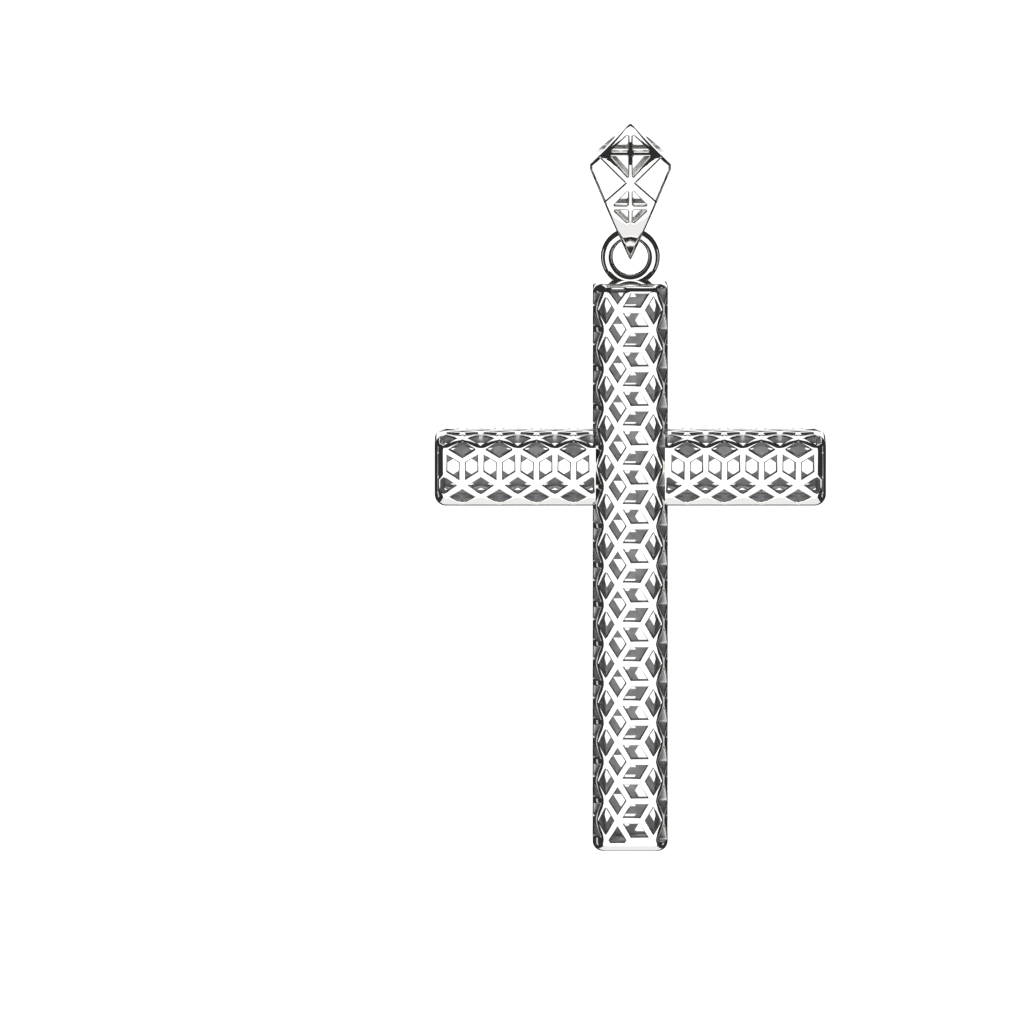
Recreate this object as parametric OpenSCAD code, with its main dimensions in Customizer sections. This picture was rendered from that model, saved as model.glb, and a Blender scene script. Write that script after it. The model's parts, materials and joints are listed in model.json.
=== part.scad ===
// Cross pendant: a hollow cross pierced in a tumbling-blocks lattice, hanging by a wire loop from a
// faceted bail. X runs along the arms, Y from the front to the back and Z up. The front faces -Y.
// The origin is the top of the bail's hole, where a chain bears.

/* [Cross] */
// Height of the upright from its foot to its top
upright_h = 50.2; // [48:0.1:52]
// Width of the upright seen from the front
upright_w = 6.6; // [6.4:0.1:6.8]
// Depth of the upright and the arms from front to back
cross_d = 8.0; // [7.8:0.1:8.2]
// Span of the arms from end to end
arm_span = 34.4; // [34:0.1:36]
// Height of the arms seen from the front
arm_h = 6.3; // [6.2:0.1:6.5]
// Distance from the upright's top down to the middle of the arms
arm_drop = 16.5; // [16:0.1:17]
// Radius of the long rounded edges
edge_r = 1.3; // [1.1:0.1:1.4]
// Radius of the rounded ends
end_r = 1.0; // [0.8:0.1:1.1]
// Thickness of the pierced walls
wall = 0.75; // [0.7:0.05:0.85]

/* [Lattice] */
// Width of the straps between the gaps
strap = 0.62; // [0.5:0.02:0.7]
// Spacing of one row of diamonds along the upright
upright_pitch = 3.476; // [3.46:0.002:3.49]
// Height of the first full diamond's middle above the foot
first_level = 2.8; // [2.7:0.05:2.9]
// Spacing of one row of diamonds along the arms
arm_pitch = 3.26; // [3.24:0.01:3.28]
// Distance from the cross's middle to the first diamond of an arm
first_arm_gap = 5.0; // [4.9:0.05:5.1]
// How far the arms' lattice sits above their middle
arm_rise = 0.4; // [0.3:0.05:0.5]

/* [Loop] */
// Outer diameter of the wire loop on top of the cross
loop_d = 5.2; // [5:0.1:5.4]
// Diameter of the loop's wire
wire_d = 1.06; // [1:0.02:1.1]

/* [Bail] */
// Height of the bail
bail_h = 12.1; // [12:0.1:12.2]
// Width of the bail across its shoulders, seen from the front
bail_w = 7.2; // [7:0.1:7.4]
// Depth of the bail from front to back
bail_d = 8.0; // [7.9:0.05:8.1]
// Height of the bail's apex above its shoulders
bail_shoulder = 3.45; // [3.3:0.05:3.6]
// Width of the bail's hole
hole_w = 5.25; // [5.2:0.05:5.3]
// Thickness of the bail above its hole
bail_crown = 1.2; // [1.15:0.05:1.25]
// Radius of the bail's long side curves
bail_side_r = 11.0; // [10.8:0.1:11.2]
// Radius of the long side curves of the bail's hole
hole_side_r = 10.0; // [9.9:0.1:10.1]
// How far the bail's shoulders lie back from the middle of its front
bail_slope = 0.45; // [0.4:0.05:0.5]
// Width of the bars that divide the bail's pierced diamonds
bail_bar = 0.32; // [0.28:0.02:0.36]

/* [Hidden] */
silver = "#dcdcde";
$fn = 64;
// Overlap of a cutting tool past the face that it cuts
over = 0.2;

// The wire loop stands on the upright's top with its wire sunk half in
wire_r = wire_d / 2;
loop_r = (loop_d - wire_d) / 2;

// The wire hangs in the round bottom of the bail's hole, clear of it as it rolls there
side_gap = 0.2;
run_gap = 0.15;
saddle_gap = 0.12;
saddle_w = 2.2;
seat_r = wire_r + side_gap;
side_z = -2.9;
hole_reach = hole_side_r - hole_w / 2;
seat_z = side_z - sqrt(pow(hole_side_r - seat_r, 2) - pow(hole_reach, 2));
pivot_z = seat_z - seat_r + wire_r + run_gap;

// The upright's top, its foot and the middle of the arms
top_z = pivot_z - 2 * loop_r;
foot_z = top_z - upright_h;
arm_z = top_z - arm_drop;

// A rhombus tile of the lattice: half its short and half its long diagonal
upright_tile = [1.06, upright_pitch / 2];
arm_tile = [1.06, arm_pitch / 2];
// Places of the tiles across the upright's front: two diamond columns, blocks, one diamond column
upright_cols = [-2.2, -2.2 + upright_tile[0], 2.12];
// Number of full diamonds in a column of the upright
upright_count = 14;
// How far the diamonds in the upright's sides sit in front of the middle
side_shift = 0.2;
// Places of the tiles across an arm: one diamond row above the blocks and one below
arm_rows = [1.61, -1.61];
// Number of full diamonds in the upper row of an arm
arm_count = 4;
// How far the arms reach into the upright's side walls
arm_butt = 0.3;

// The kite's shoulders, and how far its sides would meet past the apex and the tip
bail_top = bail_crown;
shoulder_z = bail_top - bail_shoulder;
apex_flat = 0.1;
// The pierced diamonds: the height of the middle, half the width, and the reach up and down
upper_diamond = [-1.5, 1.95, 1.85, 2.25];
lower_diamond = [-6.1, 1.5, 1.5, 1.6];

// The foot of the bail, and its rounded bottom
bail_foot = bail_top - bail_h;
bail_reach = bail_side_r - bail_d / 2;
foot_r = 1.28;
foot_centre = side_z - sqrt(pow(bail_side_r - foot_r, 2) - pow(bail_reach, 2));

// A rectangle about the middle with round corners
module round_rect(w, h, r) {
    square([w - 2 * r, h], center = true);
    square([w, h - 2 * r], center = true);
    for (x = [-1, 1], y = [-1, 1])
        translate([x * (w / 2 - r), y * (h / 2 - r)]) circle(r);
}

// A bar about the middle with its length along Z, long edges of radius r and ends of radius e
module round_bar(w, d, h, r, e) {
    intersection() {
        linear_extrude(h, center = true) round_rect(w, d, r);
        rotate([90, 0, 0]) linear_extrude(d + over, center = true) round_rect(w, h, e);
        rotate([90, 0, 90]) linear_extrude(w + over, center = true) round_rect(d, h, e);
    }
}

// The space inside a bar with walls of the given thickness
module bar_hollow(w, d, h) {
    linear_extrude(h - 2 * wall, center = true)
        round_rect(w - 2 * wall, d - 2 * wall, edge_r - wall);
}

// The gap in a diamond tile: the tile less half a strap on each side, its long diagonal along Y
module diamond_gap(tile) {
    shrink = 1 - strap / 2 * norm(tile) / (tile[0] * tile[1]);
    polygon([[tile[0] * shrink, 0], [0, tile[1] * shrink],
             [-tile[0] * shrink, 0], [0, -tile[1] * shrink]]);
}

// The gap in a leaning tile: its level edges lie half a tile apart, and lean is 1 or -1
module block_gap(tile, lean) {
    side = norm(tile);
    half_h = (tile[1] - strap) / 2;
    half_w = (side - strap * side / tile[1]) / 2;
    slant = lean * half_h * tile[0] / tile[1];
    polygon([[half_w + slant, half_h], [-half_w + slant, half_h],
             [-half_w - slant, -half_h], [half_w - slant, -half_h]]);
}

// Cuts its 2D children through the front wall and the back wall
module through_walls() {
    for (y = [-1, 1])
        translate([0, y * (cross_d - wall) / 2, 0]) rotate([90, 0, 0])
            linear_extrude(wall + 2 * over, center = true) children();
}

// The gaps across the front and the back of the upright
module upright_gaps() {
    blocks_x = (upright_cols[1] + upright_cols[2]) / 2;
    for (n = [1 : upright_count])
    translate([0, 0, foot_z + first_level + (n - 1) * upright_pitch]) through_walls() {
        for (x = [upright_cols[0], upright_cols[2]]) translate([x, 0]) diamond_gap(upright_tile);
        translate([blocks_x, -upright_pitch / 4]) block_gap(upright_tile, -1);
        if (n < upright_count) {
            translate([blocks_x, upright_pitch / 4]) block_gap(upright_tile, 1);
            translate([upright_cols[1], upright_pitch / 2]) diamond_gap(upright_tile);
        }
    }
}

// The gaps in the middle of the upright's left and right sides, clear of the arms
module side_gaps() {
    for (n = [1 : upright_count]) {
        z = foot_z + first_level + (n - 1) * upright_pitch;
        if (abs(z - arm_z) > arm_h / 2 + upright_pitch / 3)
            for (x = [-1, 1]) translate([x * (upright_w - wall) / 2, -side_shift, z])
                rotate([90, 0, 90]) linear_extrude(wall + 2 * over, center = true)
                    diamond_gap(upright_tile);
    }
}

// The gaps across the front and the back of one arm, the one at +X
module arm_gaps() {
    for (n = [1 : arm_count])
    translate([first_arm_gap + (n - 1) * arm_pitch, 0, arm_z + arm_rise]) through_walls() {
        translate([0, arm_rows[0]]) rotate(90) diamond_gap(arm_tile);
        if (n < arm_count) translate([arm_pitch / 2, arm_rows[1]]) rotate(90) diamond_gap(arm_tile);
        translate([arm_pitch / 4, 0]) rotate(90) block_gap(arm_tile, 1);
        translate([-arm_pitch / 4, 0]) rotate(90) block_gap(arm_tile, -1);
    }
}

// One arm, the one at +X: a hollow bar that butts on the upright's side
module arm() {
    inner_x = upright_w / 2 - arm_butt;
    difference() {
        translate([0, 0, arm_z]) rotate([0, 90, 0])
            round_bar(arm_h, cross_d, arm_span, edge_r, end_r);
        translate([inner_x - arm_span, 0, arm_z])
            cube([2 * arm_span, 2 * cross_d, 2 * arm_h], center = true);
        translate([0, 0, arm_z]) rotate([0, 90, 0]) bar_hollow(arm_h, cross_d, arm_span);
        arm_gaps();
    }
}

// The upright: a hollow bar with the gaps cut through its walls
module upright() {
    translate([0, 0, foot_z + upright_h / 2]) difference() {
        round_bar(upright_w, cross_d, upright_h, edge_r, end_r);
        bar_hollow(upright_w, cross_d, upright_h);
        translate([0, 0, -foot_z - upright_h / 2]) {
            upright_gaps();
            side_gaps();
        }
    }
}

// The round wire loop, upright in the plane of the cross
module loop() {
    translate([0, 0, pivot_z - loop_r]) rotate([90, 0, 0])
        rotate_extrude() translate([loop_r, 0]) circle(wire_r);
}

// The cross with its loop, one soldered piece
module cross() {
    color(silver) {
        upright();
        arm();
        mirror([1, 0, 0]) arm();
        loop();
    }
}

// A pointed teardrop: a round top of radius r about [0, top_c], long side curves of radius side_r
// that start at side_z, and a round bottom of radius low_r about [0, low_c]
module teardrop(r, top_c, side_r, low_r, low_c) {
    reach = side_r - r;
    join = side_z - side_r * (side_z - low_c) / (side_r - low_r);
    translate([0, top_c]) circle(r);
    translate([-r, side_z]) square([2 * r, top_c - side_z]);
    translate([0, low_c]) circle(low_r);
    intersection() {
        translate([reach, side_z]) circle(side_r, $fn = 180);
        translate([-reach, side_z]) circle(side_r, $fn = 180);
        translate([-r, join]) square([2 * r, side_z - join]);
    }
}

// The bail's outline from the front: a kite
module kite() {
    polygon([[0, bail_top + apex_flat], [bail_w / 2, shoulder_z],
             [0, bail_foot - apex_flat], [-bail_w / 2, shoulder_z]]);
}

// The bail's outline from above: its front and its back each fold along the middle
module folded_plan() {
    side_y = bail_d / 2 - bail_slope;
    polygon([[0, bail_d / 2], [bail_w / 2, side_y], [bail_w / 2, -side_y],
             [0, -bail_d / 2], [-bail_w / 2, -side_y], [-bail_w / 2, side_y]]);
}

// One pierced diamond of the bail: four triangles about a cross of bars
module bail_diamond(diamond) {
    half_w = diamond[1];
    up = diamond[2];
    down = diamond[3];
    translate([0, diamond[0]]) difference() {
        polygon([[half_w, 0], [0, up], [-half_w, 0], [0, -down]]);
        square([bail_bar, 2 * (up + down)], center = true);
        square([2 * half_w, bail_bar], center = true);
    }
}

// The saddle worn by the loop: the room that its curved wire sweeps as it rolls about its top
module saddle() {
    inner_r = loop_r - wire_r - saddle_gap;
    translate([0, 0, pivot_z]) rotate([0, 90, 0]) rotate_extrude() difference() {
        translate([0, -saddle_w / 2]) square([loop_r - wire_r / 2, saddle_w]);
        translate([loop_r, 0]) circle(inner_r);
    }
}

// The bail: a kite seen from the front, a teardrop from the side and a long hexagon from above
module bail() {
    color(silver) difference() {
        intersection() {
            rotate([90, 0, 0]) linear_extrude(bail_d + over, center = true) kite();
            rotate([90, 0, 90]) linear_extrude(bail_w + over, center = true)
                teardrop(bail_d / 2, bail_top - bail_d / 2, bail_side_r, foot_r, foot_centre);
            translate([0, 0, bail_foot - over]) linear_extrude(bail_h + 2 * over) folded_plan();
        }
        rotate([90, 0, 90]) linear_extrude(bail_w + 2 * over, center = true)
            teardrop(hole_w / 2, -hole_w / 2, hole_side_r, seat_r, seat_z);
        saddle();
        for (y = [-1, 1]) translate([0, y * bail_d / 2, 0]) rotate([90, 0, 0])
            linear_extrude(bail_d / 2, center = true) {
                bail_diamond(upper_diamond);
                bail_diamond(lower_diamond);
            }
    }
}

bail();
cross();
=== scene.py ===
"""Looks of the cross pendant in polished silver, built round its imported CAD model.

Each lattice bar starts as a flat pierced strip: U runs round the bar and V along it. The strip is then
rolled into the bar. Lengths are in millimetres, and a mesh is scaled to metres when it is done.
"""

import json
import logging
import math
from collections.abc import Iterable
from dataclasses import dataclass
from enum import Enum

import bmesh
import bpy
from bmesh.types import BMesh, BMEdge, BMFace, BMVert
from mathutils import Matrix, Vector


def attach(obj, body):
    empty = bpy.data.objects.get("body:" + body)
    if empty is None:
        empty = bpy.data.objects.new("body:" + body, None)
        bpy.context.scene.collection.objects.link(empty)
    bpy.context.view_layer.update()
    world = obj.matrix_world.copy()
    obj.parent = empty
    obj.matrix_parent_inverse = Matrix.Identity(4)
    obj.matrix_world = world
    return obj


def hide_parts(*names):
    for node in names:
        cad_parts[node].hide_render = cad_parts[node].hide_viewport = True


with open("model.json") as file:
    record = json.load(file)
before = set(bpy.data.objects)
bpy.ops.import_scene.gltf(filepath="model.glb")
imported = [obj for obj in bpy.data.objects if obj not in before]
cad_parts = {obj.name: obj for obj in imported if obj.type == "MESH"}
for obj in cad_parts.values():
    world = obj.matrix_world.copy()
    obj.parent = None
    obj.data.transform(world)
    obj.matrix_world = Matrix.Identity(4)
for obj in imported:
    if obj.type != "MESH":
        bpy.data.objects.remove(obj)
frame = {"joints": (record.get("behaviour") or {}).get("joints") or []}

LOG = logging.getLogger("cross_pendant")
# A millimetre in Blender's metres
MM = 0.001
# How near two vertices are, in millimetres, when they are made one
WELD = 1e-4
# How far off a plane a vertex may be, in millimetres, and still count as on it
NUDGE = 1e-5
QUARTER = math.pi / 2
# The radius of the wire loop on top of the cross, to the wire's middle, and the wire's own radius
LOOP_R = 2.07
WIRE_R = 0.53
# The number of facets in a quarter of a teardrop's top, in a side curve, and in half a foot, which is
# finer in the hole
TOP_FACETS = 36
SIDE_FACETS = 30
FOOT_FACETS = 12
HOLE_FOOT_FACETS = 16
# The least sine of the angle between a wall and its edge at which the edge is rounded
LEAST_SINE = 0.1
# The range that most of a noise texture's values lie in
NOISE_RANGE = (0.35, 0.65)


class Layer(Enum):
    """What a face of a piece is: polished outside, a rougher inside (on the cross as-cast, its grey partly
    painted shade in the hollows), or a gap still to be cut.
    """

    POLISHED = 0
    CAST = 1
    GAP = 2


class Side(Enum):
    """The side of the cross that an arm is on."""

    LEFT = -1
    RIGHT = 1


def everything(bm: BMesh) -> list:
    """All the vertices, edges and faces of a mesh."""
    return bm.verts[:] + bm.edges[:] + bm.faces[:]


def only(kind: type, items: Iterable) -> list:
    """The items of one kind, such as BMVert."""
    return [item for item in items if isinstance(item, kind)]


def boundary(bm: BMesh) -> list[BMEdge]:
    """The edges with a face on one side only."""
    return [edge for edge in bm.edges if edge.is_boundary]


def gaps_of(faces: Iterable[BMFace]) -> list[BMFace]:
    """The faces that are gaps."""
    return [face for face in faces if face.material_index == Layer.GAP.value]


def paint(faces: Iterable[BMFace], layer: Layer) -> None:
    """Makes faces part of a layer."""
    for face in faces:
        face.material_index = layer.value


def shift(bm: BMesh, vec: tuple[float, float, float] | Vector, items: Iterable | None = None) -> None:
    """Moves the vertices among some items, or all of them."""
    bmesh.ops.translate(bm, verts=only(BMVert, bm.verts if items is None else items), vec=vec)


def with_edges(faces: Iterable[BMFace]) -> list:
    """Gathers all that belongs to some faces.

    Args:
        faces: The faces.

    Returns:
        Their vertices and edges, without repeats, and the faces.
    """
    faces = list(faces)
    edges = {edge for face in faces for edge in face.edges}
    verts = {vert for face in faces for vert in face.verts}
    return [*verts, *edges, *faces]


def slice_mesh(bm: BMesh, point: Vector, normal: Vector, part: list | None = None,
               clear: bool = False) -> list[BMEdge]:
    """Cuts a mesh, or part of it, along a plane.

    Args:
        bm: The mesh.
        point: A point of the plane.
        normal: The plane's normal.
        part: The vertices, edges and faces that are cut, or None for all of them.
        clear: True to take away what lies on the normal's side.

    Returns:
        The edges that lie on the cut.
    """
    cut = bmesh.ops.bisect_plane(bm, geom=everything(bm) if part is None else part, dist=NUDGE,
                                 plane_co=point, plane_no=normal, clear_outer=clear)
    return only(BMEdge, cut["geom_cut"])


def weld(bm: BMesh) -> None:
    """Merges the vertices that lie in one place."""
    bmesh.ops.remove_doubles(bm, verts=bm.verts[:], dist=WELD)


def close_up(bm: BMesh) -> None:
    """Fills the open ends of a mesh, and turns its faces outwards."""
    bmesh.ops.holes_fill(bm, edges=boundary(bm), sides=0)
    bmesh.ops.recalc_face_normals(bm, faces=bm.faces[:])


def round_gaps(bm: BMesh, gaps: list[BMFace], rounding: tuple[float, float], steps: int = 3) -> None:
    """Sinks each gap of an outer skin a little, with a small round edge.

    Args:
        bm: The mesh.
        gaps: The gaps' faces, with their normals outwards. They stay, as the gaps' floors.
        rounding: How far the round edges reach across the skin and down into the wall.
        steps: The number of facets of such an edge.
    """
    across = down = 0.0
    for step in range(1, steps + 1):
        turn = QUARTER * step / steps
        next_across, next_down = rounding[0] * math.sin(turn), rounding[1] * (1 - math.cos(turn))
        ring = bmesh.ops.inset_individual(bm, faces=gaps, thickness=next_across - across,
                                          depth=down - next_down, use_even_offset=True)
        paint(ring["faces"], Layer.POLISHED)
        across, down = next_across, next_down


def open_gaps(bm: BMesh, gaps: list[BMFace], depth: float, rounding: tuple[float, float]) -> None:
    """Sinks each gap of an outer skin through the wall, with a small round edge.

    Args:
        bm: The mesh.
        gaps: The gaps' faces, with their normals outwards.
        depth: The wall's thickness.
        rounding: How far the gaps' round edges reach across the skin and down into the wall.
    """
    round_gaps(bm, gaps, rounding)
    before = set(bm.faces)
    inwards = [-gap.normal.copy() for gap in gaps]
    sunk = bmesh.ops.extrude_discrete_faces(bm, faces=gaps)["faces"]
    for face, inward in zip(sunk, inwards):
        shift(bm, inward * (depth - rounding[1]), face.verts)
    paint(set(bm.faces) - before - set(sunk), Layer.CAST)
    bmesh.ops.delete(bm, geom=sunk, context="FACES_ONLY")


def open_inside(bm: BMesh, faces: list[BMFace], rounding: float) -> list[BMFace]:
    """Opens the gaps of an inner skin, narrowed by the round edges of the outer one.

    Args:
        bm: The mesh.
        faces: The faces of the inner skin, gaps and all.
        rounding: How far the outer skin's round edges reach across.

    Returns:
        The faces that are left.
    """
    gaps = gaps_of(faces)
    ring = bmesh.ops.inset_individual(bm, faces=gaps, thickness=rounding, use_even_offset=True)["faces"]
    gone = set(gaps)
    left = [face for face in faces if face not in gone] + ring
    bmesh.ops.delete(bm, geom=gaps, context="FACES_ONLY")
    paint(left, Layer.CAST)
    return left


def subtract(bm: BMesh, cutters: list[BMesh]) -> BMesh:
    """Cuts shapes out of a closed mesh.

    Args:
        bm: The mesh. It is freed.
        cutters: The closed shapes that are taken away. They are freed.

    Returns:
        What is left.
    """
    objects = []
    for number, shape in enumerate([bm, *cutters]):
        mesh = bpy.data.meshes.new(f"blank_{number}")
        shape.to_mesh(mesh)
        shape.free()
        blank = bpy.data.objects.new(mesh.name, mesh)
        bpy.context.scene.collection.objects.link(blank)
        objects.append(blank)
    for cutter in objects[1:]:
        cut = objects[0].modifiers.new(cutter.name, "BOOLEAN")
        cut.operation = "DIFFERENCE"
        cut.solver = "EXACT"
        cut.object = cutter
    graph = bpy.context.evaluated_depsgraph_get()
    result = bmesh.new()
    result.from_object(objects[0], graph)
    for blank in objects:
        bpy.data.objects.remove(blank)
    weld(result)
    return result


def finish_mesh(bm: BMesh, name: str, finishes: list[bpy.types.Material],
                sharp: float = 50) -> bpy.types.Object:
    """Makes a shaded object of a mesh that is in millimetres.

    Args:
        bm: The mesh. It is freed.
        name: The piece's name.
        finishes: The materials in the order of Layer.
        sharp: The angle in degrees past which an edge is shaded sharp.

    Returns:
        The new object.
    """
    bmesh.ops.recalc_face_normals(bm, faces=bm.faces[:])
    open_edges = sum(1 for edge in bm.edges if not edge.is_manifold)
    bmesh.ops.scale(bm, vec=(MM, MM, MM), verts=bm.verts[:])
    mesh = bpy.data.meshes.new(name)
    bm.to_mesh(mesh)
    bm.free()
    mesh.shade_smooth()
    mesh.set_sharp_from_angle(angle=math.radians(sharp))
    piece = bpy.data.objects.new(name, mesh)
    bpy.context.scene.collection.objects.link(piece)
    for material in finishes:
        mesh.materials.append(material)
    flat = piece.modifiers.new("even_shading", "WEIGHTED_NORMAL")
    flat.keep_sharp = True
    LOG.info("%s: %d faces, %d open edges", name, len(mesh.polygons), open_edges)
    return piece


def linear(srgb: str) -> tuple[float, float, float, float]:
    """The linear colour of an sRGB hex value such as "#f4f2ee"."""
    parts = [int(srgb[at:at + 2], 16) / 255 for at in (1, 3, 5)]
    return (*(c / 12.92 if c <= 0.04045 else ((c + 0.055) / 1.055) ** 2.4 for c in parts), 1.0)


def add_node(tree: bpy.types.NodeTree, kind: str, settings: dict, links: dict) -> bpy.types.Node:
    """Adds a node.

    Args:
        tree: The tree that gets the node.
        kind: The node's type.
        settings: Values of the node's own properties, or of its inputs where it has no such property.
        links: The output socket that feeds each named input.

    Returns:
        The new node.
    """
    node = tree.nodes.new(kind)
    for name, value in settings.items():
        if hasattr(node, name):
            setattr(node, name, value)
        else:
            node.inputs[name].default_value = value
    for name, socket in links.items():
        tree.links.new(socket, node.inputs[name])
    return node


@dataclass(frozen=True)
class Silver:
    """Sterling silver in one state of finish.

    Fields: the material's name, its colour, its least and most roughness, the size in millimetres of the
    patches where the roughness changes, and the size and height in millimetres of its unevenness.
    """

    name: str
    colour: str
    smoothest: float
    roughest: float
    patch: float
    grain: float
    grain_height: float

    def material(self) -> bpy.types.Material:
        """Makes the material.

        Returns:
            The material. Its patches and its unevenness follow Object coordinates.
        """
        material = bpy.data.materials.new(self.name)
        material.use_nodes = True
        tree = material.node_tree
        shader = tree.nodes["Principled BSDF"]
        shader.inputs["Base Color"].default_value = linear(self.colour)
        shader.inputs["Metallic"].default_value = 1.0
        place = add_node(tree, "ShaderNodeTexCoord", {}, {}).outputs["Object"]
        patches = add_node(tree, "ShaderNodeTexNoise", {"Scale": 1 / (self.patch * MM), "Detail": 3.0},
                           {"Vector": place})
        spread = add_node(tree, "ShaderNodeMapRange",
                          {"From Min": NOISE_RANGE[0], "From Max": NOISE_RANGE[1],
                           "To Min": self.smoothest, "To Max": self.roughest},
                          {"Value": patches.outputs["Fac"]})
        tree.links.new(spread.outputs["Result"], shader.inputs["Roughness"])
        grains = add_node(tree, "ShaderNodeTexNoise", {"Scale": 1 / (self.grain * MM), "Detail": 2.0},
                          {"Vector": place})
        bump = add_node(tree, "ShaderNodeBump", {"Strength": 1.0, "Distance": self.grain_height * MM},
                        {"Height": grains.outputs["Fac"]})
        tree.links.new(bump.outputs["Normal"], shader.inputs["Normal"])
        return material


# Buffed on a wheel: nearly a mirror, with faint cloudy changes of gloss and a hardly uneven skin
BUFFED_SILVER = Silver("buffed_sterling_silver", "#f5f4f2", 0.03, 0.08, 1.5, 2.5, 0.004)
# Tumbled in a barrel where no wheel reaches: bright but softly mottled, so that reflections break up
TUMBLED_SILVER = Silver("tumbled_sterling_silver", "#f0f0ef", 0.1, 0.24, 0.7, 0.9, 0.03)
# The skin from the casting mould, out of the wheel's reach: dull and finely grained, and grey partly as
# painted shade, which darkens the hollows and gap walls that it lines
AS_CAST_SILVER_WITH_PAINTED_SHADE = Silver("as_cast_silver_with_painted_shade", "#dededf", 0.42, 0.55, 0.8, 0.12, 0.003)


@dataclass(frozen=True)
class StudioPaper:
    """Smooth white paper of the studio's floor: matt, and lit so that it stays white in every view.

    Fields: the material's name, its colour, its roughness and the strength of its own light.
    """

    name: str = "matt_studio_paper"
    colour: str = "#ffffff"
    roughness: float = 0.9
    glow: float = 1.0

    def material(self) -> bpy.types.Material:
        """Makes the material.

        Returns:
            The material, the same all over.
        """
        material = bpy.data.materials.new(self.name)
        material.use_nodes = True
        shader = material.node_tree.nodes["Principled BSDF"]
        shader.inputs["Base Color"].default_value = linear(self.colour)
        shader.inputs["Roughness"].default_value = self.roughness
        shader.inputs["Emission Color"].default_value = linear(self.colour)
        shader.inputs["Emission Strength"].default_value = self.glow
        return material


@dataclass(frozen=True)
class Section:
    """A bar's section: a rectangle with round corners. Its girth is measured from the middle of the front.

    Fields: the width across the front, the depth from front to back, the corners' radius and the number
    of facets of a corner.
    """

    width: float
    depth: float
    radius: float
    facets: int = 7

    @property
    def runs(self) -> tuple[float, float, float]:
        """Half the flat of the front, the arc of a corner and the flat of a side."""
        return self.width / 2 - self.radius, self.radius * QUARTER, self.depth - 2 * self.radius

    @property
    def girth(self) -> float:
        """The way round the bar."""
        half, arc, side = self.runs
        return 4 * half + 4 * arc + 2 * side

    def at(self, u: float) -> tuple[Vector, Vector]:
        """Finds a place on the bar's skin.

        Args:
            u: How far round it lies from the middle of the front.

        Returns:
            The point there as (across, back), and the normal.
        """
        half, arc, side = self.runs
        u %= self.girth
        turned = u >= self.girth / 2
        u -= self.girth / 2 if turned else 0
        corner = Vector((half, side / 2))
        if u < half:
            point, normal = Vector((u, -self.depth / 2)), Vector((0, -1))
        elif u < half + arc:
            angle = (u - half) / self.radius
            normal = Vector((math.sin(angle), -math.cos(angle)))
            point = Vector((corner.x, -corner.y)) + normal * self.radius
        elif u < half + arc + side:
            point, normal = Vector((self.width / 2, u - half - arc - side / 2)), Vector((1, 0))
        elif u < half + 2 * arc + side:
            angle = (u - half - arc - side) / self.radius
            normal = Vector((math.cos(angle), math.sin(angle)))
            point = corner + normal * self.radius
        else:
            point, normal = Vector((2 * half + 2 * arc + side - u, self.depth / 2)), Vector((0, 1))
        return (-point, -normal) if turned else (point, normal)

    def creases(self) -> list[float]:
        """Finds where the strip is cut so that the corners roll up round.

        Returns:
            How far round each cut lies from the middle of the front.
        """
        half, arc, side = self.runs
        starts = (half, half + arc + side)
        once = [start + arc * step / self.facets for start in starts for step in range(self.facets + 1)]
        return once + [self.girth / 2 + u for u in once]


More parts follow.
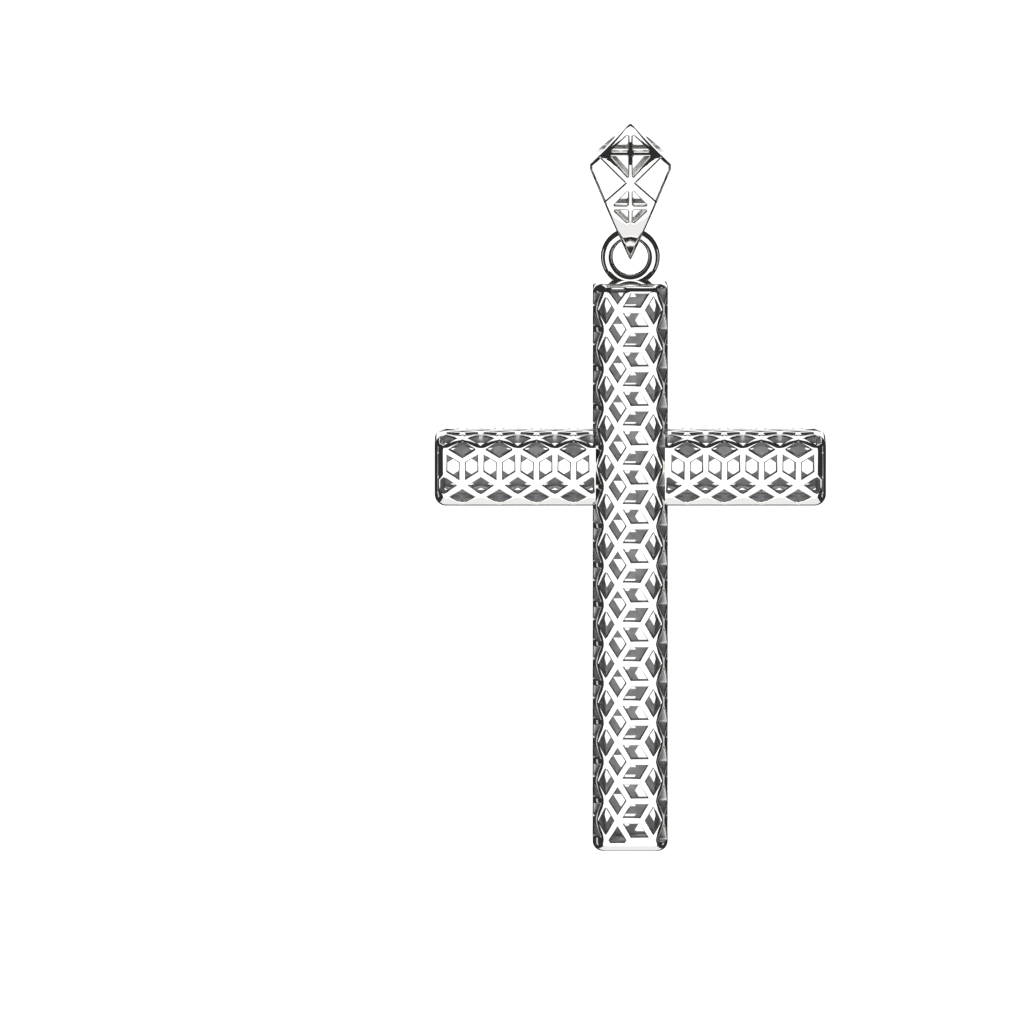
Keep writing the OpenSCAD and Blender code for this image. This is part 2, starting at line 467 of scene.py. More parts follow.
@dataclass(frozen=True)
class Lattice:
    """Tumbling blocks: pairs of diamond columns, with columns of leaning blocks between them.

    Fields: where the pairs of half the girth start, half the width and half the height of a diamond, the
    place along the bar of one level of diamonds, the straps' width, how far their round edges reach
    across them and down into the wall, the length under which an edge that a cut leaves is closed up, and
    the middles of the columns that stay solid.
    """

    pairs: tuple[float, ...]
    half_w: float
    half_h: float
    level: float
    strap: float = 0.62
    rounding: float = 0.2
    round_depth: float = 0.12
    crumb: float = 0.02
    solid: tuple[float, ...] = ()

    def cell(self, bm: BMesh, start: float, after: float) -> None:
        """Adds one level of tiles between two pairs of diamond columns.

        Args:
            bm: The flat strip.
            start: Where the first pair starts.
            after: Where the pair after it starts.
        """
        w, h = self.half_w, self.half_h
        for corners in (
            ((start - w, 0), (start, -h), (start + w, 0), (start, h)),
            ((start + w, 0), (start + 2 * w, h), (start + w, 2 * h), (start, h)),
            ((start + w, 0), (after - w, 0), (after, h), (start + 2 * w, h)),
            ((start + 2 * w, h), (after, h), (after - w, 2 * h), (start + w, 2 * h)),
        ):
            bm.faces.new([bm.verts.new((u, v, 0)) for u, v in corners])

    def sheet(self, girth: float, low: float, high: float) -> BMesh:
        """Lays the tiles flat, each with its gap inset.

        Args:
            girth: The way round the bar.
            low: The lower end of the strip.
            high: The upper end of the strip.

        Returns:
            The strip, with gaps still closed.
        """
        bm = bmesh.new()
        starts = [*self.pairs, *(start + girth / 2 for start in self.pairs)]
        for start, after in zip(starts, [*starts[1:], starts[0] + girth]):
            self.cell(bm, start, after)
        pitch = 2 * self.half_h
        first = math.floor((low - self.level) / pitch) - 1
        last = math.ceil((high - self.level) / pitch) + 1
        shift(bm, (0, self.level + first * pitch, 0))
        row = everything(bm)
        for count in range(1, last - first):
            copy = bmesh.ops.duplicate(bm, geom=row)["geom"]
            shift(bm, (0, count * pitch, 0), copy)
        weld(bm)
        tiles = bm.faces[:]
        bmesh.ops.inset_individual(bm, faces=tiles, thickness=self.strap / 2 - self.rounding,
                                   use_even_offset=True)
        for tile in tiles:
            u = tile.calc_center_median().x
            if all(abs(u - middle) > self.half_w / 2 for middle in self.solid):
                tile.material_index = Layer.GAP.value
        slice_mesh(bm, Vector((0, low, 0)), Vector((0, -1, 0)), clear=True)
        slice_mesh(bm, Vector((0, high, 0)), Vector((0, 1, 0)), clear=True)
        return bm

    def keep_rims(self, bm: BMesh, low: float, high: float, least: float) -> None:
        """Closes the gaps near the ends of the strip, and those that are too narrow to be cut.

        Args:
            bm: The flat strip.
            low: The place along the strip where gaps start.
            high: The place along the strip where gaps end.
            least: A gap stays open where twice its area over its perimeter is at least this.
        """
        for limit, outwards in ((low, -1), (high, 1)):
            slice_mesh(bm, Vector((0, limit, 0)), Vector((0, 1, 0)), part=with_edges(gaps_of(bm.faces)))
            paint([face for face in bm.faces if (face.calc_center_median().y - limit) * outwards > 0],
                  Layer.POLISHED)
        bmesh.ops.remove_doubles(bm, verts=bm.verts[:], dist=self.crumb)
        narrow = [gap for gap in gaps_of(bm.faces) if 2 * gap.calc_area() < least * gap.calc_perimeter()]
        paint(narrow, Layer.POLISHED)

    def slab(self, bm: BMesh, wall: float) -> None:
        """Gives the flat strip its thickness, and cuts the gaps through.

        Args:
            bm: The flat strip. Its upper side is the outer skin.
            wall: The thickness.
        """
        gaps = gaps_of(bm.faces)
        copy = bmesh.ops.duplicate(bm, geom=everything(bm))["geom"]
        inside = open_inside(bm, only(BMFace, copy), self.rounding)
        bmesh.ops.reverse_faces(bm, faces=inside)
        shift(bm, (0, 0, -wall), {vert for face in inside for vert in face.verts})
        bm.normal_update()
        open_gaps(bm, gaps, wall, (self.rounding, self.round_depth))
        weld(bm)


@dataclass(frozen=True)
class LatticeBar:
    """A hollow bar with a pierced wall. Its length runs up to a rounded end with a plate.

    Fields: the section, the lattice, the length, the wall's thickness, the radius of the rounded ends,
    where the bar starts, whether its start is rounded too, between which places the gaps lie, the gaps of
    the plate at the end, as corners (across, back), the number of facets of a rounded end, the least gap,
    how near to a plate's level its rim lies, and how many walls' thickness a cutter reaches past a plate.
    """

    section: Section
    lattice: Lattice
    length: float
    wall: float
    end_r: float
    start: float
    round_start: bool
    gap_limits: tuple[float, float]
    end_cap: tuple[tuple[tuple[float, float], ...], ...] = ()
    end_facets: int = 6
    least_gap: float = 0.5
    cap_margin: float = 0.01
    cap_cut: float = 1.2

    def along(self, v: float) -> tuple[float, float]:
        """Finds where a place on the strip comes to lie.

        Args:
            v: The place along the strip.

        Returns:
            The place along the bar, and the turn of the wall there in radians.
        """
        over = v - (self.length - self.end_r)
        if over > 0:
            turn = min(over / self.end_r, QUARTER)
            return self.length - self.end_r + self.end_r * math.sin(turn), turn
        under = self.end_r - v
        if self.round_start and under > 0:
            turn = min(under / self.end_r, QUARTER)
            return self.end_r - self.end_r * math.sin(turn), -turn
        return v, 0.0

    def roll(self, vert: BMVert) -> None:
        """Moves a vertex of the flat strip to its place on the bar.

        Args:
            vert: The vertex. Its new place is (across, back, along).
        """
        u, v, height = vert.co
        point, normal = self.section.at(u)
        along, turn = self.along(v)
        inset = self.end_r * (1 - math.cos(turn)) - height * math.cos(turn)
        flat = point - normal * inset
        vert.co = (flat.x, flat.y, along + height * math.sin(turn))

    def cap(self, bm: BMesh, along: float, outwards: int) -> None:
        """Closes a rounded end with a plate.

        Args:
            bm: The rolled bar.
            along: Where the plate's outer face lies.
            outwards: 1 at the end of the bar, -1 at its start.
        """
        for level, layer in ((along, Layer.POLISHED), (along - outwards * self.wall, Layer.CAST)):
            rim = [edge for edge in boundary(bm)
                   if all(abs(vert.co.z - level) < self.cap_margin for vert in edge.verts)]
            paint(bmesh.ops.contextual_create(bm, geom=rim)["faces"], layer)

    def cap_gaps(self) -> BMesh:
        """Makes the shapes that are cut out of the plate at the end.

        Returns:
            The closed shapes, in one mesh.
        """
        bm = bmesh.new()
        reach = self.cap_cut * self.wall
        for corners in self.end_cap:
            face = bm.faces.new([bm.verts.new((*corner, self.length - reach)) for corner in corners])
            shift(bm, (0, 0, 2 * reach), bmesh.ops.extrude_face_region(bm, geom=[face])["geom"])
        paint(bm.faces, Layer.CAST)
        bmesh.ops.recalc_face_normals(bm, faces=bm.faces[:])
        return bm

    def build(self) -> BMesh:
        """Makes the bar, with its length along Z.

        Returns:
            The closed mesh, in millimetres.
        """
        beyond = self.end_r * (QUARTER - 1)
        low = -beyond if self.round_start else self.start
        bm = self.lattice.sheet(self.section.girth, low, self.length + beyond)
        self.lattice.keep_rims(bm, *self.gap_limits, self.least_gap)
        self.lattice.slab(bm, self.wall)
        girth = self.section.girth
        lowest = min(vert.co.x for vert in bm.verts)
        highest = max(vert.co.x for vert in bm.verts)
        for crease in self.section.creases():
            for u in (crease - girth, crease, crease + girth):
                if lowest < u < highest:
                    slice_mesh(bm, Vector((u, 0, 0)), Vector((1, 0, 0)))
        for facet in range(self.end_facets):
            arc = self.end_r * QUARTER * facet / self.end_facets
            slice_mesh(bm, Vector((0, self.length - self.end_r + arc, 0)), Vector((0, 1, 0)))
            if self.round_start:
                slice_mesh(bm, Vector((0, self.end_r - arc, 0)), Vector((0, 1, 0)))
        for vert in bm.verts:
            self.roll(vert)
        weld(bm)
        self.cap(bm, self.length, 1)
        if self.round_start:
            self.cap(bm, 0.0, -1)
        close_up(bm)
        return subtract(bm, [self.cap_gaps()] if self.end_cap else [])


# The gaps in the plate at an arm's end, as corners (up, back): blocks on both sides of diamonds
ARM_END_GAPS = (
    ((0.26, -2.9), (1.2, -2.9), (1.2, -1.63), (0.26, -2.1)),
    ((2.43, -0.03), (1.41, -0.77), (0.39, -0.03), (1.41, 0.71)),
    ((0.26, 0.53), (1.26, 1.0), (1.26, 2.9), (0.26, 2.3)),
    ((0.02, -1.57), (0.83, -1.05), (0.02, -0.58)),
    ((-1.4, -2.9), (-0.41, -2.9), (-0.41, -1.2), (-1.4, -1.7)),
    ((-0.41, 0.1), (-1.03, 0.53), (-0.41, 0.97)),
    ((-1.46, 1.21), (-0.35, 1.75), (-0.35, 2.9), (-1.46, 2.5)),
    ((-0.78, -0.49), (-1.58, -1.2), (-2.38, -0.49), (-1.58, 0.22)),
)


@dataclass(frozen=True)
class Cross:
    """The hollow pierced cross with its wire loop, which swings in the bail.

    Fields: the pivot's height, sizes as in the CAD (arm_drop from the top to the arms' middle, arm_start
    from the cross's middle to where an arm's wall starts), the radii of the long edges and of the ends,
    the wall's thickness, half the width and half the height of a diamond, where the pairs of diamond
    columns start round a bar and the place of one level along it, the closed column on the arms'
    underside, how far from the ends the gaps stop, and the facets round the wire and round the loop.
    """

    pivot_z: float
    upright_h: float = 50.2
    upright_w: float = 6.6
    depth: float = 8.0
    arm_span: float = 34.4
    arm_h: float = 6.3
    arm_drop: float = 16.5
    arm_start: float = 3.05
    edge_r: float = 1.3
    end_r: float = 1.0
    upright_end_r: float = 0.8
    wall: float = 0.75
    half_tile: float = 1.06
    upright_half_pitch: float = 1.738
    upright_pairs: tuple[float, ...] = (-2.182, 2.068, 6.59)
    upright_level: float = 2.8
    upright_margins: tuple[float, float] = (0.7, 0.07)
    arm_half_pitch: float = 1.628
    arm_pairs: tuple[float, ...] = (-2.26, 2.02, 6.47)
    arm_level: float = 5.0
    arm_closed: float = 3.96
    arm_margin: float = 0.22
    wire_facets: int = 28
    loop_facets: int = 80

    @property
    def top_z(self) -> float:
        """The upright's top, in which the wire is sunk to its middle."""
        return self.pivot_z - 2 * LOOP_R

    def upright(self) -> BMesh:
        """Makes the upright in its place.

        Returns:
            The closed mesh, in millimetres.
        """
        section = Section(self.upright_w, self.depth, self.edge_r)
        lattice = Lattice(self.upright_pairs, self.half_tile, self.upright_half_pitch, self.upright_level)
        low, high = self.upright_margins
        bm = LatticeBar(section, lattice, self.upright_h, self.wall, self.upright_end_r, 0.0, True,
                        (low, self.upright_h - high)).build()
        shift(bm, (0, 0, self.top_z - self.upright_h))
        return bm

    def arm(self, side: Side) -> BMesh:
        """Makes one arm in its place.

        Args:
            side: The side that the arm is on.

        Returns:
            The closed mesh, in millimetres.
        """
        section = Section(self.arm_h, self.depth, self.edge_r)
        lattice = Lattice(self.arm_pairs, self.half_tile, self.arm_half_pitch, self.arm_level,
                          solid=(section.girth - self.arm_closed,))
        reach = self.arm_span / 2
        bm = LatticeBar(section, lattice, reach, self.wall, self.end_r, self.arm_start, False,
                        (0.0, reach - self.arm_margin), ARM_END_GAPS).build()
        # Across the bar is up, along it is out to the side
        turn = Matrix(((0, 0, side.value), (0, 1, 0), (1, 0, 0))).to_4x4()
        bmesh.ops.transform(bm, matrix=Matrix.Translation((0, 0, self.top_z - self.arm_drop)) @ turn,
                            verts=bm.verts[:])
        return bm

    def loop(self) -> BMesh:
        """Makes the round wire loop on top of the upright.

        Returns:
            The closed mesh, in millimetres.
        """
        bm = bmesh.new()
        bmesh.ops.create_circle(bm, segments=self.wire_facets, radius=WIRE_R)
        shift(bm, (LOOP_R, 0, 0))
        bmesh.ops.spin(bm, geom=everything(bm), cent=(0, 0, 0), axis=(0, 1, 0), angle=math.tau,
                       steps=self.loop_facets, use_merge=True)
        weld(bm)
        shift(bm, (0, 0, self.pivot_z - LOOP_R))
        return bm

    def dress(self, finishes: list[bpy.types.Material]) -> list[bpy.types.Object]:
        """Builds the pieces and makes them ride on the cross.

        Args:
            finishes: The materials in the order of Layer.

        Returns:
            The pieces.
        """
        pieces = [
            finish_mesh(self.upright(), "upright", finishes),
            finish_mesh(self.arm(Side.LEFT), "left_arm", finishes),
            finish_mesh(self.arm(Side.RIGHT), "right_arm", finishes),
            finish_mesh(self.loop(), "wire_loop", finishes),
        ]
        for piece in pieces:
            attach(piece, "cross")
            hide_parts("cross")
        return pieces


def turn_edge(bm: BMesh, last: list, centre: tuple[float, float], angle: float, steps: int) -> list:
    """Spins the last edge of a band about a centre (back, up), and gives back the new last edge."""
    return bmesh.ops.spin(bm, geom=last, cent=(0, *centre), axis=(1, 0, 0), angle=angle,
                          steps=steps)["geom_last"]


def lift_edge(bm: BMesh, last: list, height: float) -> list:
    """Carries the last edge of a band straight up.

    Args:
        bm: The mesh.
        last: The edge, with its vertices.
        height: How far it is carried.

    Returns:
        The new last edge, with its vertices.
    """
    new = bmesh.ops.extrude_edge_only(bm, edges=only(BMEdge, last)[:1])["geom"]
    shift(bm, (0, 0, height), new)
    return only(BMVert, new) + only(BMEdge, new)


@dataclass(frozen=True)
class Teardrop:
    """A pointed ring's outline from the side: a round top, long side curves and a small round foot.

    Fields: the radius and the height of the top's centre, the radius of the sides and the height at which
    they start, and the radius and the height of the foot's centre.
    """

    top_r: float
    top_z: float
    side_r: float
    side_z: float
    foot_r: float
    foot_z: float

    @property
    def reach(self) -> float:
        """How far a side curve's centre lies past the middle."""
        return self.side_r - self.top_r

    @property
    def lean(self) -> float:
        """The angle from straight down to where a side curve meets the foot."""
        return math.atan2(self.reach, self.side_z - self.foot_z)

    @property
    def lowest(self) -> float:
        """The height of the foot's lowest point."""
        return self.foot_z - self.foot_r

    def at(self, z: float) -> tuple[float, float]:
        """Finds the outline at a height.

        Args:
            z: The height.

        Returns:
            Half the outline's width there, and how far in radians its wall looks upwards.
        """
        if z >= self.top_z:
            rise = min((z - self.top_z) / self.top_r, 1.0)
            return self.top_r * math.sqrt(1 - rise ** 2), math.asin(rise)
        if z >= self.side_z:
            return self.top_r, 0.0
        if z >= self.foot_z - self.foot_r * math.cos(self.lean):
            rise = (z - self.side_z) / self.side_r
            return self.side_r * math.sqrt(1 - rise ** 2) - self.reach, math.asin(rise)
        rise = max((z - self.foot_z) / self.foot_r, -1.0)
        return self.foot_r * math.sqrt(1 - rise ** 2), math.asin(rise)

    def levels(self) -> list[float]:
        """Finds where a wall is cut so that it bends round.

        Returns:
            The heights of the cuts, without the outline's top and its lowest point.
        """
        sweep = QUARTER - self.lean
        top = [self.top_z + self.top_r * math.cos(QUARTER * step / TOP_FACETS)
               for step in range(1, TOP_FACETS + 1)]
        side = [self.side_z - self.side_r * math.sin(sweep * step / SIDE_FACETS)
                for step in range(SIDE_FACETS + 1)]
        foot = [self.foot_z - self.foot_r * math.cos(self.lean * step / FOOT_FACETS)
                for step in range(1, FOOT_FACETS)]
        return top + side + foot

    def wall(self, bm: BMesh, half_x: float) -> None:
        """Adds the outline as a band that runs along X.

        Args:
            bm: The mesh that gets the band.
            half_x: Half the band's width.
        """
        ends = [bm.verts.new((x, 0, self.lowest)) for x in (-half_x, half_x)]
        rise = self.top_z - self.side_z
        sweep = QUARTER - self.lean
        last = turn_edge(bm, [*ends, bm.edges.new(ends)], (0, self.foot_z), self.lean, HOLE_FOOT_FACETS)
        last = turn_edge(bm, last, (-self.reach, self.side_z), sweep, SIDE_FACETS)
        last = lift_edge(bm, last, rise)
        last = turn_edge(bm, last, (0, self.top_z), math.pi, 2 * TOP_FACETS)
        last = lift_edge(bm, last, -rise)
        last = turn_edge(bm, last, (self.reach, self.side_z), sweep, SIDE_FACETS)
        turn_edge(bm, last, (0, self.foot_z), self.lean, HOLE_FOOT_FACETS)
        weld(bm)


@dataclass(frozen=True)
class Diamond:
    """A diamond of four pierced triangles, up to where their round edges start.

    Fields: the height of its middle, half its width, and its reach above and below the middle.
    """

    z: float
    half_w: float
    up: float
    down: float

    def triangles(self, bar: float) -> list[list[tuple[float, float]]]:
        """Finds the triangles between an upright bar and a level one.

        Args:
            bar: The width of the bars.

        Returns:
            The corners (across, up) of each triangle, the square corner first.
        """
        half = bar / 2
        found = []
        for side in (-1, 1):
            for height in (self.up, -self.down):
                way = math.copysign(half, height)
                found.append([(side * half, self.z + way),
                              (side * self.half_w * (1 - half / abs(height)), self.z + way),
                              (side * half, self.z + height * (1 - half / self.half_w))])
        return found


@dataclass(frozen=True)
class Bail:
    """The faceted, pierced bail that a chain runs through.

    The front is first laid out flat, as (across, deep, up), and is then bent to the outline from the side.

    Fields, in order:
        The heights of the pivot, the top, the shoulders and the foot, how far the kite's tips reach past
        top and foot, and half its width before the shoulders are rounded.
        Seen from the side: where the side curves start, the depth, and the radii of the sides and the
        foot of the ring, then the width and these radii of its hole.
        The diamonds, and the bar between their triangles.
        The corners (across, up) of the right side facet and of the chin, and the chin's lowest point.
        The facets' slope, the step behind their ridge, how wide it is and how far its cuts overrun, the
        slope and the width of the lip before it, and the chin's slope.
        How far the shoulders and the square and sharp corners of the triangles are cut, the radii of the
        outline's and the gaps' edges, the facets of a shoulder and of a gap's edge, how far from the
        middle the gaps' pockets end, and the spacing of upright cuts.
        The notch for the wire: its gap, half its width, and its facets across and round the swing.
        The angle in degrees past which an edge is shaded sharp.
    """

    pivot_z: float
    top: float = 1.2
    shoulder_z: float = -2.25
    foot: float = -10.9
    tip: float = 0.1
    half_w: float = 3.69
    side_z: float = -2.9
    depth: float = 8.0
    side_r: float = 11.0
    foot_r: float = 1.28
    hole_w: float = 5.25
    hole_side_r: float = 10.0
    hole_foot_r: float = 0.73
    diamonds: tuple[Diamond, ...] = (Diamond(-1.16, 2.19, 1.93, 2.5), Diamond(-5.95, 1.89, 1.98, 1.85))
    bar: float = 0.12
    upper_corner: tuple[float, float] = (2.74, -1.3)
    neck: tuple[float, float] = (0.27, -3.73)
    lower_corner: tuple[float, float] = (2.3, -5.55)
    chin_corner: tuple[float, float] = (1.88, -6.44)
    chin_z: float = -7.98
    slope: float = 0.12
    step: float = 0.14
    step_run: float = 0.2
    overrun: float = 0.45
    lip_slope: float = 0.17
    lip_run: float = 0.38
    chin_slope: float = 0.1
    shoulder_reach: float = 0.34
    square_reach: float = 0.2
    sharp_reach: float = 0.38
    edge_r: float = 0.26
    gap_r: float = 0.14
    shoulder_facets: int = 5
    gap_facets: int = 4
    pocket: float = 1.2
    column: float = 0.37
    saddle_gap: float = 0.12
    saddle_half_x: float = 1.1
    saddle_facets: tuple[int, int] = (14, 48)
    sharp: float = 30

    def outline(self, outer: bool) -> Teardrop:
        """Works out an outline from the side.

        Args:
            outer: True for that of the ring, False for that of its hole.

        Returns:
            The outline.
        """
        top_r, side_r, foot_r = ((self.depth / 2, self.side_r, self.foot_r) if outer
                                 else (self.hole_w / 2, self.hole_side_r, self.hole_foot_r))
        top_z = self.top - top_r if outer else -top_r
        foot_z = self.side_z - math.sqrt((side_r - foot_r) ** 2 - (side_r - top_r) ** 2)
        return Teardrop(top_r, top_z, side_r, self.side_z, foot_r, foot_z)

    def plate(self, bm: BMesh, corners: list[tuple[float, float]], reaches: tuple[float, ...],
              segments: int) -> list[BMFace]:
        """Adds a flat plate with some corners cut off or rounded.

        Args:
            bm: The mesh that gets the plate.
            corners: The plate's corners (across, up).
            reaches: How far each corner's cut reaches along the edges, or 0 where the corner stays.
            segments: The number of facets of such a cut, 1 for a straight one.

        Returns:
            The plate's face.
        """
        before = set(bm.faces)
        face = bm.faces.new([bm.verts.new((x, 0, z)) for x, z in corners])
        for vert, reach in zip(face.verts[:], reaches):
            if reach:
                bmesh.ops.bevel(bm, geom=[vert], offset=reach, offset_type="OFFSET", segments=segments,
                                profile=0.5, affect="VERTICES", material=-1)
        return [face for face in bm.faces if face not in before]

    def front(self) -> BMesh:
        """Lays out the front, flat but for the round edges of its gaps.

        Returns:
            The open mesh, with the layer "rim" for its own round edge.
        """
        bm = bmesh.new()
        kite = [(0, self.top + self.tip), (-self.half_w, self.shoulder_z), (0, self.foot - self.tip),
                (self.half_w, self.shoulder_z)]
        whole = self.plate(bm, kite, (0, self.shoulder_reach, 0, self.shoulder_reach),
                           self.shoulder_facets)
        bmesh.ops.delete(bm, geom=whole, context="FACES_ONLY")
        gaps = []
        for diamond in self.diamonds:
            for corners in diamond.triangles(self.bar):
                gaps += self.plate(bm, corners, (self.square_reach, self.sharp_reach, self.sharp_reach), 1)
        paint(gaps, Layer.GAP)
        bmesh.ops.triangle_fill(bm, edges=bm.edges[:], use_beauty=True, normal=(0, -1, 0))
        bm.normal_update()
        bmesh.ops.reverse_faces(bm, faces=[face for face in bm.faces if face.normal.y > 0])
        bm.normal_update()
        self.sink_rim(bm)
        round_gaps(bm, gaps_of(bm.faces), (self.gap_r, self.gap_r), self.gap_facets)
        return bm

    def sink_rim(self, bm: BMesh, steps: int = 5) -> None:
        """Cuts rings along the outline, and notes in the layer "rim" how deep each is to sink.

        Args:
            bm: The flat front.
            steps: The number of rings.
        """
        rim = bm.verts.layers.float.new("rim")
        for vert in bm.verts:
            vert[rim] = self.edge_r if vert.is_boundary else 0.0
        inside = bm.faces[:]
        across = 0.0
        for step in range(1, steps + 1):
            turn = QUARTER * step / steps
            reach = self.edge_r * (1 - math.cos(turn))
            ring = bmesh.ops.inset_region(bm, faces=inside, thickness=reach - across, use_boundary=True,
                                          use_even_offset=True)["faces"]
            inner = {vert for face in ring for vert in face.verts} & {vert for face in inside
                                                                      for vert in face.verts}
            for vert in inner:
                vert[rim] = self.edge_r * (1 - math.sin(turn))
            paint(ring, Layer.POLISHED)
            across = reach

    def facet_start(self, z: float) -> float:
        """Works out where the side facets start.

        Args:
            z: The height.

        Returns:
            How far from the middle they start there.
        """
        corner = self.upper_corner if z > self.neck[1] else self.lower_corner
        share = (z - self.neck[1]) / (corner[1] - self.neck[1])
        return self.neck[0] + share * (corner[0] - self.neck[0])

    def set_back(self, x: float, z: float) -> float:
        """Works out how far a place lies behind the flat of the diamonds.

        Args:
            x: The place across.
            z: Its height.

        Returns:
            The distance, on a side facet or its lip, or on the chin, and otherwise 0.
        """
        past = abs(x) - self.facet_start(z)
        if past > -self.lip_run:
            lip = self.lip_slope * (min(past, 0.0) + self.lip_run)
            facet = max(past, 0.0)
            return lip + facet * self.slope + self.step * min(facet / self.step_run, 1.0)
        corner_x, corner_z = self.chin_corner
        under = self.chin_z + abs(x) * (corner_z - self.chin_z) / corner_x - z
        whole = self.chin_z - self.outline(True).lowest
        return self.chin_slope * under * (1 - under / whole) if under > 0 else 0.0

    @staticmethod
    def flank(bm: BMesh, side: int, low: float, high: float) -> list:
        """Gathers the part of the flat front on one side of its middle, between two heights.

        Args:
            bm: The flat front.
            side: -1 for the left side, 1 for the right side.
            low: The lower height.
            high: The upper height.

        Returns:
            The vertices, edges and faces of the part.
        """
        middles = [(face, face.calc_center_median()) for face in bm.faces]
        return with_edges(face for face, middle in middles if middle.x * side > 0 and low < middle.z < high)

    def cut_facets(self, bm: BMesh) -> None:
        """Cuts the flat front where it will bend and along its facets' edges.

        Args:
            bm: The flat front.
        """
        outline = self.outline(True)
        up, across = Vector((0, 0, 1)), Vector((1, 0, 0))
        slice_mesh(bm, Vector((0, 0, self.top)), up, clear=True)
        slice_mesh(bm, Vector((0, 0, outline.lowest)), -up, clear=True)
        for z in (*outline.levels(), self.neck[1]):
            slice_mesh(bm, Vector((0, 0, z)), up)
        columns = math.floor(self.half_w / self.column)
        for number in range(-columns, columns + 1):
            slice_mesh(bm, Vector((number * self.column, 0, 0)), across)
        for side in (-1, 1):
            for corner in (self.upper_corner, self.lower_corner):
                end = corner[1] + math.copysign(self.overrun, corner[1] - self.neck[1])
                low, high = sorted((end, self.neck[1]))
                normal = Vector((self.neck[1] - corner[1], 0, (corner[0] - self.neck[0]) * side))
                for beyond in (-self.lip_run, 0.0, self.step_run):
                    slice_mesh(bm, Vector(((self.neck[0] + beyond) * side, 0, self.neck[1])),
                               normal.normalized(), part=self.flank(bm, side, low, high))
            normal = Vector((self.chin_z - self.chin_corner[1], 0, self.chin_corner[0] * side))
            slice_mesh(bm, Vector((0, 0, self.chin_z)), normal.normalized(),
                       part=self.flank(bm, side, -math.inf, self.chin_corner[1] + self.tip))

    def bend(self, bm: BMesh) -> None:
        """Bends the flat front to the outline, and sinks its facets and its rim.

        Args:
            bm: The flat front. Its layer "rim" is taken away.
        """
        outline = self.outline(True)
        rim = bm.verts.layers.float["rim"]
        for vert in bm.verts:
            x, deep, z = vert.co
            half, tilt = outline.at(z)
            place = Vector((x, deep + self.set_back(x, z) - half, z))
            # The round edge sinks along the kite's side wall, further where wall and front meet sharply
            if vert[rim] > 0:
                edge = self.top + self.tip if z > self.shoulder_z else self.foot - self.tip
                rise = edge - self.shoulder_z
                side = 0 if abs(x) < NUDGE else math.copysign(1, x)
                plane = Vector((side * abs(rise), 0, math.copysign(self.half_w, rise))).normalized()
                inwards = Vector((0, math.cos(tilt), -math.sin(tilt)))
                along = inwards - plane * inwards.dot(plane)
                between = math.acos(-inwards.dot(plane))
                if side and along.length > LEAST_SINE:
                    place += along / along.length_squared * vert[rim] * math.tan(between / 2)
            place.y = min(place.y, 0.0)
            vert.co = place
        bm.verts.layers.float.remove(rim)

    def blank(self) -> BMesh:
        """Makes the bail without its hole, with pockets where the triangles are pierced.

        Returns:
            The closed mesh, in millimetres.
        """
        bm = self.front()
        self.cut_facets(bm)
        self.bend(bm)
        front = bm.faces[:]
        rim = [edge for edge in boundary(bm) if any(abs(vert.co.y) > WELD for vert in edge.verts)]
        back = bmesh.ops.duplicate(bm, geom=with_edges(front))["geom"]
        walls = bmesh.ops.extrude_edge_only(bm, edges=rim)["geom"]
        for vert in set(only(BMVert, back + walls)):
            vert.co.y *= -1
        bmesh.ops.reverse_faces(bm, faces=only(BMFace, back))
        weld(bm)
        bmesh.ops.delete(bm, geom=gaps_of(bm.faces), context="FACES")
        before = set(bm.faces)
        sunk = bmesh.ops.extrude_edge_only(bm, edges=boundary(bm))["geom"]
        for vert in only(BMVert, sunk):
            vert.co.y = math.copysign(self.pocket, vert.co.y)
        close_up(bm)
        paint(set(bm.faces) - before, Layer.CAST)
        return bm

    def hole(self) -> BMesh:
        """Makes the room inside the ring, as a block that runs from side to side.

        Returns:
            The closed mesh, in millimetres.
        """
        bm = bmesh.new()
        self.outline(False).wall(bm, self.half_w + self.column)
        close_up(bm)
        paint(bm.faces, Layer.CAST)
        return bm

    def saddle(self) -> BMesh:
        """Makes the room that the loop's curved wire sweeps as it swings.

        Returns:
            The closed mesh, in millimetres.
        """
        bm = bmesh.new()
        inner_r = LOOP_R - WIRE_R - self.saddle_gap
        turn = math.asin(self.saddle_half_x / inner_r)
        across, round_x = self.saddle_facets
        first = bm.verts.new((-self.saddle_half_x, 0, LOOP_R - inner_r * math.cos(turn)))
        bmesh.ops.spin(bm, geom=[first], cent=(0, 0, LOOP_R), axis=(0, 1, 0), angle=-2 * turn, steps=across)
        bmesh.ops.spin(bm, geom=everything(bm), cent=(0, 0, 0), axis=(1, 0, 0), angle=math.tau,
                       steps=round_x, use_merge=True)
        weld(bm)
        close_up(bm)
        shift(bm, (0, 0, self.pivot_z))
        return bm

    def dress(self, finishes: list[bpy.types.Material]) -> list[bpy.types.Object]:
        """Builds the bail and makes it ride on its body.

        Args:
            finishes: The materials in the order of Layer.

        Returns:
            The one piece.
        """
        body = subtract(self.blank(), [self.hole(), self.saddle()])
        piece = finish_mesh(body, "bail_ring", finishes, self.sharp)
        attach(piece, "bail")
        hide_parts("bail")
        return [piece]


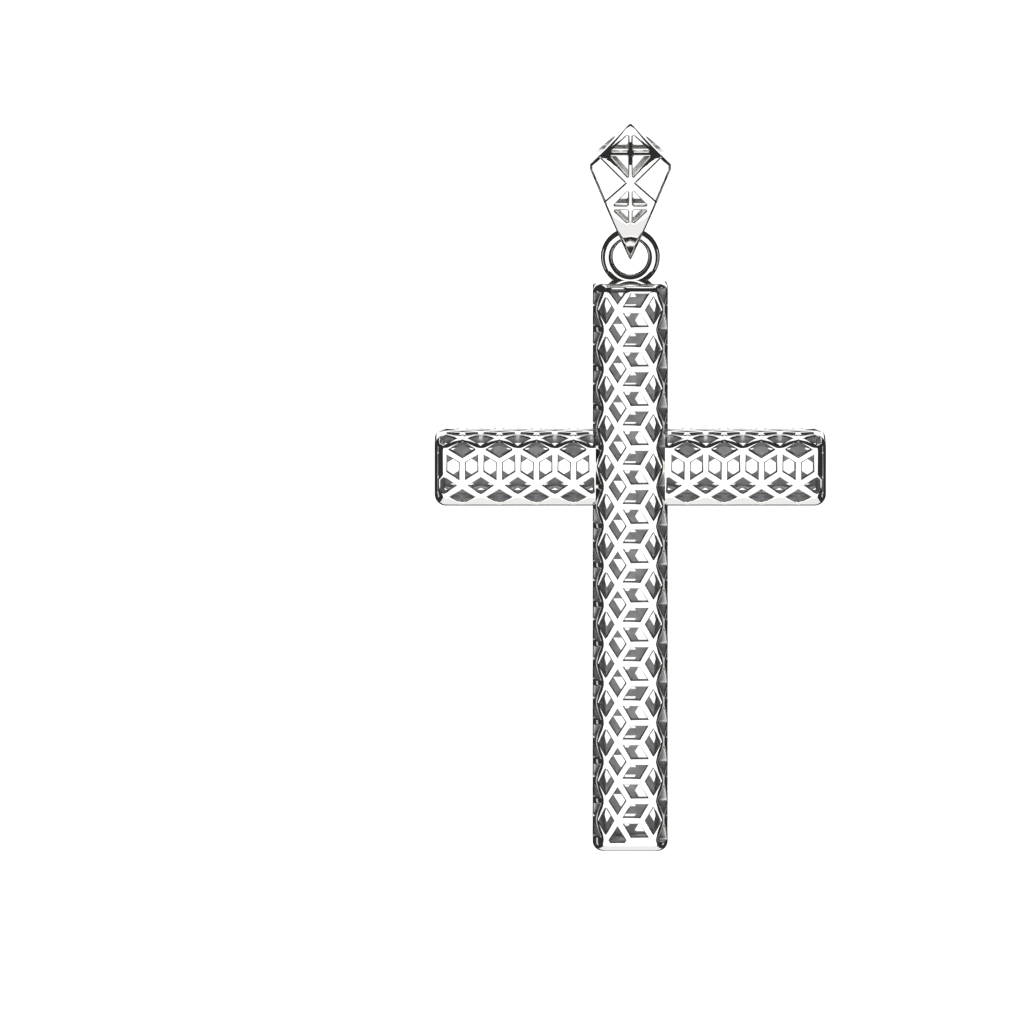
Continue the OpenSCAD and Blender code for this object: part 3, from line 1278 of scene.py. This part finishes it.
@dataclass(frozen=True)
class Softbox:
    """A soft rectangular light that faces the pendant from 1 m away.

    Fields: its name, its direction from the front and its angle above the horizon in degrees, its width
    and height in metres, and its radiance in watts for each square metre and steradian.
    """

    name: str
    azimuth: float
    elevation: float
    size: tuple[float, float]
    radiance: float

    def place(self, target: Vector) -> None:
        """Adds the light, turned to a target. The camera doesn't see it.

        Args:
            target: The point that it shines at, in metres.
        """
        light = bpy.data.lights.new(self.name, "AREA")
        light.shape = "RECTANGLE"
        light.size, light.size_y = self.size
        light.energy = self.radiance * self.size[0] * self.size[1] * math.pi
        box = bpy.data.objects.new(self.name, light)
        around, above = math.radians(self.azimuth), math.radians(self.elevation)
        away = Vector((math.sin(around) * math.cos(above), -math.cos(around) * math.cos(above),
                       math.sin(above)))
        box.location = target + away
        box.rotation_euler = away.to_track_quat("Z", "Y").to_euler()
        box.visible_camera = False
        bpy.context.scene.collection.objects.link(box)


SOFTBOXES = (
    # Makes white what faces the camera
    Softbox("front", 0, -18, (1.3, 1.3), 1.3),
    # Makes undersides light grey
    Softbox("below", 0, -90, (1.3, 1.6), 0.9),
    # Makes level tops white. The dark gap over it draws the line round the bail's apex
    Softbox("back", 180, 7.75, (0.5, 0.362), 1.2),
    # Makes steep upper slopes white
    Softbox("back_top", 180, 72, (0.5, 1.25), 1.2),
    # Draw grey lines along upright round edges
    Softbox("left", -90, -10, (0.3, 0.8), 0.6),
    Softbox("right", 90, -10, (0.3, 0.8), 0.6),
)


@dataclass(frozen=True)
class Studio:
    """The pale floor, the soft lights and the camera.

    Fields: the camera's angle above the horizon, the point in the middle of its picture, the width that
    the picture shows, its lens, its sensor, the nearest and the farthest that it sees as shares of its
    distance, the height and the radius of the floor and its corners, and the brightness of the dark
    studio round the softboxes.
    """

    elevation: float = 6.7
    middle: tuple[float, float, float] = (-10.4, 0.0, -33.24)
    shown: float = 90.1
    lens: float = 1200.0
    sensor: float = 36.0
    clip: tuple[float, float] = (0.1, 20.0)
    floor_z: float = -75.0
    floor_r: float = 12000.0
    floor_corners: int = 96
    ambient: float = 0.03

    def camera(self) -> None:
        """Puts the camera where the photograph was taken from."""
        data = bpy.data.cameras.new("camera")
        data.lens = self.lens
        data.sensor_width = self.sensor
        distance = self.lens / self.sensor * self.shown * MM
        data.clip_start, data.clip_end = (distance * share for share in self.clip)
        camera = bpy.data.objects.new("camera", data)
        tilt = math.radians(self.elevation)
        back = Vector((0, -math.cos(tilt), math.sin(tilt)))
        camera.location = Vector(self.middle) * MM + back * distance
        camera.rotation_euler = (-back).to_track_quat("-Z", "Y").to_euler()
        bpy.context.scene.collection.objects.link(camera)
        bpy.context.scene.camera = camera

    def floor(self) -> None:
        """Lays the floor. It is left out of mirror images, which show only the softboxes."""
        bm = bmesh.new()
        bmesh.ops.create_circle(bm, cap_ends=True, segments=self.floor_corners, radius=self.floor_r)
        shift(bm, (0, 0, self.floor_z))
        bmesh.ops.scale(bm, vec=(MM, MM, MM), verts=bm.verts[:])
        mesh = bpy.data.meshes.new("floor")
        bm.to_mesh(mesh)
        bm.free()
        mesh.materials.append(StudioPaper().material())
        floor = bpy.data.objects.new("floor", mesh)
        floor.visible_glossy = False
        bpy.context.scene.collection.objects.link(floor)

    def build(self) -> None:
        """Sets up the floor, the lights and the camera."""
        self.floor()
        world = bpy.data.worlds.new("studio")
        world.use_nodes = True
        world.node_tree.nodes["Background"].inputs["Color"].default_value = (*[self.ambient] * 3, 1)
        bpy.context.scene.world = world
        for softbox in SOFTBOXES:
            softbox.place(Vector((0, 0, self.middle[2])) * MM)
        bpy.context.scene.view_settings.view_transform = "Standard"
        self.camera()


def main() -> None:
    """Builds the pendant and its studio."""
    logging.basicConfig(level=logging.INFO, format="%(message)s")
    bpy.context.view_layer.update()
    pivot_z = frame["joints"][0]["pos_m"][2] / MM
    finishes = (BUFFED_SILVER, TUMBLED_SILVER, AS_CAST_SILVER_WITH_PAINTED_SHADE)
    buffed, tumbled, as_cast_and_shade = (silver.material() for silver in finishes)
    # The cross's inside faces get the as-cast silver, greyer partly as painted shade in its hollows
    pieces = Bail(pivot_z).dress([buffed, tumbled]) + Cross(pivot_z).dress([buffed, as_cast_and_shade])
    for piece in pieces:
        LOG.info("placed %s", piece.name)
    Studio().build()


if __name__ == "__main__":
    main()
